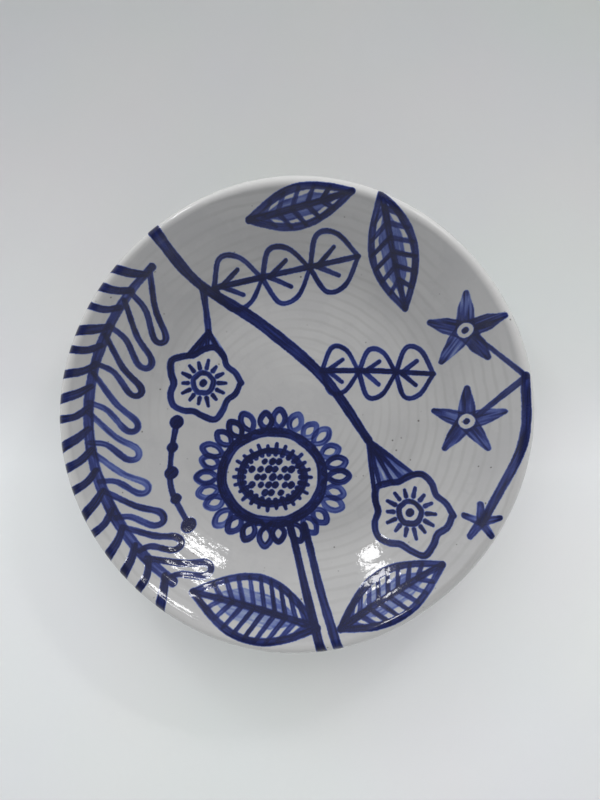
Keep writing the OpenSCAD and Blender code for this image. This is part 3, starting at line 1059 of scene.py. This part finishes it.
def sampled(grid, spot):
    r, c = spot[:, 0].astype(int), spot[:, 1].astype(int)
    u, v = spot[:, 0] - r, spot[:, 1] - c
    if grid.ndim == 3:
        u, v = u[:, None], v[:, None]
    r1, c1 = np.minimum(r + 1, len(grid) - 1), np.minimum(c + 1, len(grid) - 1)
    near = grid[r, c] * (1 - v) + grid[r, c1] * v
    far = grid[r1, c] * (1 - v) + grid[r1, c1] * v
    return near * (1 - u) + far * u


def boundary(faces):
    a = np.concatenate([f.ravel() for f in faces])
    b = np.concatenate([np.roll(f, -1, axis=1).ravel() for f in faces])
    size = a.max() + 1
    lone = ~np.isin(a * size + b, b * size + a)
    return a[lone], b[lone]


# %% Cobalt finish
def cobalt_material():
    material, tree, shader = new_material("cobalt_under_glaze")
    place = object_place(tree)
    bare, clouds = glaze_tone(tree, place)
    dose = node(tree, "ShaderNodeAttribute", attribute_name="pigment").outputs["Fac"]
    way = node(tree, "ShaderNodeAttribute", attribute_name="sweep").outputs["Vector"]
    long_way = node(tree, "ShaderNodeVectorMath", {0: way, 1: (0.10, 1.5, 1.0)}, operation="MULTIPLY")
    hairs = node(tree, "ShaderNodeTexNoise", {"Vector": long_way.outputs[0], "Scale": 1.0, "Detail": 3.0})
    grain = node(tree, "ShaderNodeTexNoise", {"Vector": place, "Scale": 1100.0, "Detail": 2.0})
    streaked = node(tree, "ShaderNodeMapRange", {
        "Value": hairs.outputs["Fac"], "From Min": 0.3, "From Max": 0.7, "To Min": 0.84, "To Max": 1.10})
    grained = node(tree, "ShaderNodeMapRange", {
        "Value": grain.outputs["Fac"], "From Min": 0.3, "From Max": 0.7, "To Min": 0.95, "To Max": 1.05})
    both = node(tree, "ShaderNodeMath", {0: streaked.outputs[0], 1: grained.outputs[0]}, operation="MULTIPLY")
    amount = node(tree, "ShaderNodeMath", {0: dose, 1: both.outputs[0]}, operation="MULTIPLY", use_clamp=True)
    blue = colour_ramp(tree, amount.outputs[0], [
        (0.10, (0.28, 0.33, 0.47)), (0.35, (0.085, 0.12, 0.34)), (0.60, (0.020, 0.034, 0.18)),
        (0.82, (0.006, 0.012, 0.09)), (1.0, (0.002, 0.004, 0.04))])
    cover = node(tree, "ShaderNodeMapRange", {
        "Value": amount.outputs[0], "From Min": 0.0, "From Max": 0.16, "To Min": 0.0, "To Max": 1.0})
    mixed = node(tree, "ShaderNodeMix", {0: cover.outputs[0], 6: bare, 7: blue}, data_type="RGBA")
    tree.links.new(mixed.outputs[2], shader.inputs["Base Color"])
    glossy(tree, shader, place, clouds)
    return material


cobalt = cobalt_material()


# %% Paint pieces
THIN, THICK, SUNK = 0.03 * MM, 0.07 * MM, 0.05 * MM


def paint_piece(name, field, rank):
    nudge = 0.06 * PITCH
    field = np.where(np.abs(field) < nudge, np.where(field < 0, -nudge, nudge), field)
    spot, faces = cut_grid(field)
    x, y = spot[:, 1] * PITCH - REACH, spot[:, 0] * PITCH - REACH
    dose = sampled(pigment, spot)
    top = on_glaze(x, y, (THIN + THICK * dose) * (1 - 0.02 * rank))
    bottom = on_glaze(x, y, np.full(len(x), -SUNK))
    n = len(x)
    a, b = boundary(faces)
    polygons = [p for f in faces for p in f.tolist()] + [p for f in faces for p in (f[:, ::-1] + n).tolist()]
    polygons += np.stack([b, a, a + n, b + n], -1).tolist()
    piece = make_object(name + "_paint", np.concatenate([top, bottom]).tolist(), polygons, cobalt)
    mesh = piece.data
    mesh.set_sharp_from_angle(angle=math.radians(50))
    mesh.attributes.new("pigment", "FLOAT", "POINT").data.foreach_set("value", np.concatenate([dose, dose]))
    way = np.tile(sampled(sweep, spot), (2, 1))
    mesh.attributes.new("sweep", "FLOAT_VECTOR", "POINT").data.foreach_set("vector", way.ravel())
    return finished(piece, "cobalt", name)


gaps = {name: painted(strokes, seed + 1) for seed, (name, strokes) in enumerate(MOTIFS.items())}
covered = np.full(canvas_size, FAR)
for rank, (name, gap) in enumerate(gaps.items()):
    piece = paint_piece(name, np.minimum(SOFT + 0.03 - gap, covered + SOFT), rank)
    covered = np.minimum(covered, gap)
    print(f"{name}: {len(piece.data.polygons)} faces")
